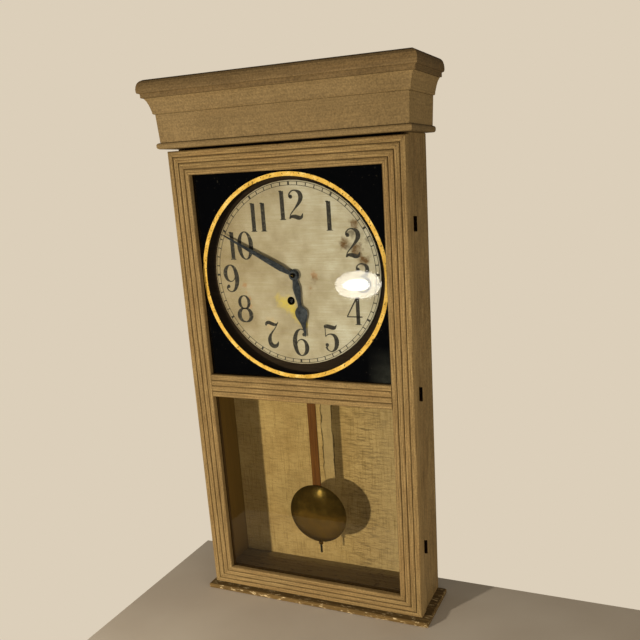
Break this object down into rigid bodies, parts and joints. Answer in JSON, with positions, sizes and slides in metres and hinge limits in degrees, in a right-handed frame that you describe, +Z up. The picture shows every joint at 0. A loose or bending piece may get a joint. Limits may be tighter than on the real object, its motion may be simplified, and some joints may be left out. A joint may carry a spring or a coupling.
{
  "type": "pendulum wall clock",
  "caption": "Painted wooden pendulum wall clock: moulded crown, reeded glazed door, round dial with Arabic numerals, brass movement and a wooden-stick pendulum with a domed bob.",
  "frame": {"origin": "centre of the back board's rear face, where it lies against the wall, at the middle of the case's height", "axes": "+X to the right of someone facing the dial, +Y into the wall, +Z up"},
  "size_m": [0.456, 0.1301, 0.8861],
  "materials": {
    "painted_wood": "aged olive-buff oil paint, brushed, grime in the grooves",
    "back_panel": "aged buff paint over a jointed board, matte",
    "inside_wood": "dark stained softwood, matte",
    "bare_wood": "unpainted, worn and darkened",
    "stick_wood": "red-brown varnished hardwood",
    "glass_upper": "clear pane, black and gold painted behind, glossy",
    "glass_lower": "clear old window glass, glossy",
    "dial_paint": "aged cream enamel paint with printed black figures, satin",
    "blued_steel": "blued, polished",
    "steel": "dulled",
    "brass": "satin, slightly tarnished",
    "bob_brass": "spun, brown with tarnish"
  },
  "bodies": {
    "case": {"back_board": "back_panel", "base_board": "bare_wood", "case_floor": "inside_wood", "case_side_left": "painted_wood", "case_side_right": "painted_wood", "case_top": "inside_wood", "cove_front": "painted_wood", "cove_left": "painted_wood", "cove_right": "painted_wood", "crown_cap": "painted_wood", "crown_nosing": "painted_wood", "dial": "dial_paint", "dial_board": "inside_wood", "frieze_front": "painted_wood", "frieze_left": "painted_wood", "frieze_right": "painted_wood", "hanger_plate": "steel", "hinge_case_leaf_bottom": "steel", "hinge_case_leaf_middle": "steel", "hinge_case_leaf_top": "steel", "hook_post": "brass", "mainspring": "blued_steel", "movement_plate_back": "brass", "movement_plate_front": "brass", "pillar_a": "steel", "pillar_b": "steel", "pillar_c": "steel", "pillar_d": "steel", "suspension_stud": "brass"},
    "door": {"door_stile_left": "painted_wood", "door_stile_right": "painted_wood", "door_rail_top": "painted_wood", "door_rail_middle": "painted_wood", "door_rail_bottom": "painted_wood", "glass_upper": "glass_upper", "glass_lower": "glass_lower", "glazing_bead_upper": "inside_wood", "glazing_bead_lower": "inside_wood", "hinge_door_leaf_top": "steel", "hinge_door_leaf_middle": "steel", "hinge_door_leaf_bottom": "steel", "hook_pin": "brass"},
    "hook": {"door_hook": "brass"},
    "winding": {"winding_arbor": "steel"},
    "great": {"great_wheel": "brass"},
    "second": {"second_wheel": "brass"},
    "centre": {"centre_wheel": "brass", "minute_hand": "blued_steel", "hand_nut": "brass"},
    "third": {"third_wheel": "brass"},
    "escape": {"escape_wheel": "brass"},
    "minute_work": {"minute_wheel": "brass"},
    "hour": {"hour_wheel": "brass", "hour_hand": "blued_steel"},
    "anchor": {"verge": "steel"},
    "pendulum": {"pendulum_rod": "steel", "pendulum_stick": "stick_wood", "rating_screw": "steel"},
    "bob": {"pendulum_bob": "bob_brass"},
    "nut": {"rating_nut": "brass"}
  },
  "joints": [
    {"name": "door_swing", "type": "hinge", "parent": "case", "child": "door", "pos_m": [0.2026, -0.0813, 0], "axis": [0, 0, 1], "range_deg": [0, 110]},
    {"name": "hook_turn", "type": "hinge", "parent": "case", "child": "hook", "pos_m": [-0.2026, -0.062, 0], "axis": [1, 0, 0], "range_deg": [0, 270]},
    {"name": "winding_turn", "type": "hinge", "parent": "case", "child": "winding", "pos_m": [-0.0103, 0, 0.1416], "axis": [0, 1, 0], "continuous": true},
    {"name": "centre_turn", "type": "hinge", "parent": "case", "child": "centre", "pos_m": [0, 0, 0.1835], "axis": [0, 1, 0], "continuous": true},
    {"name": "great_turn", "type": "hinge", "parent": "case", "child": "great", "pos_m": [-0.0103, 0, 0.1416], "axis": [0, 1, 0], "continuous": true},
    {"name": "second_turn", "type": "hinge", "parent": "case", "child": "second", "pos_m": [-0.02141, 0, 0.17267], "axis": [0, 1, 0], "continuous": true},
    {"name": "third_turn", "type": "hinge", "parent": "case", "child": "third", "pos_m": [0.01582, 0, 0.19541], "axis": [0, 1, 0], "continuous": true},
    {"name": "escape_turn", "type": "hinge", "parent": "case", "child": "escape", "pos_m": [0, 0, 0.204], "axis": [0, 1, 0], "continuous": true},
    {"name": "minute_work_turn", "type": "hinge", "parent": "case", "child": "minute_work", "pos_m": [0.01188, 0, 0.17162], "axis": [0, 1, 0], "continuous": true},
    {"name": "hour_turn", "type": "hinge", "parent": "case", "child": "hour", "pos_m": [0, 0, 0.1835], "axis": [0, 1, 0], "continuous": true},
    {"name": "pendulum_swing", "type": "hinge", "parent": "case", "child": "pendulum", "pos_m": [0, -0.0604, 0.221], "axis": [0, 1, 0], "range_deg": [-3.5, 3.5]},
    {"name": "anchor_rock", "type": "hinge", "parent": "case", "child": "anchor", "pos_m": [0, -0.0329, 0.221], "axis": [0, 1, 0], "range_deg": [-3.5, 3.5]},
    {"name": "bob_height", "type": "slide", "parent": "pendulum", "child": "bob", "axis": [0, 0, 1], "range_m": [-0.003, 0.003]},
    {"name": "nut_turn", "type": "hinge", "parent": "bob", "child": "nut", "pos_m": [0, -0.0604, -0.297], "axis": [0, 0, 1], "range_deg": [-1350, 1350]}
  ],
  "couplings": [
    {"joint": "great_turn", "follows": "centre_turn", "ratio": 0.0625},
    {"joint": "second_turn", "follows": "centre_turn", "ratio": -0.25},
    {"joint": "third_turn", "follows": "centre_turn", "ratio": -8},
    {"joint": "escape_turn", "follows": "centre_turn", "ratio": 64},
    {"joint": "minute_work_turn", "follows": "centre_turn", "ratio": -0.33333},
    {"joint": "hour_turn", "follows": "centre_turn", "ratio": 0.083333},
    {"joint": "anchor_rock", "follows": "pendulum_swing", "ratio": 1},
    {"joint": "nut_turn", "follows": "bob_height", "rad_per_m": 7854}
  ]
}
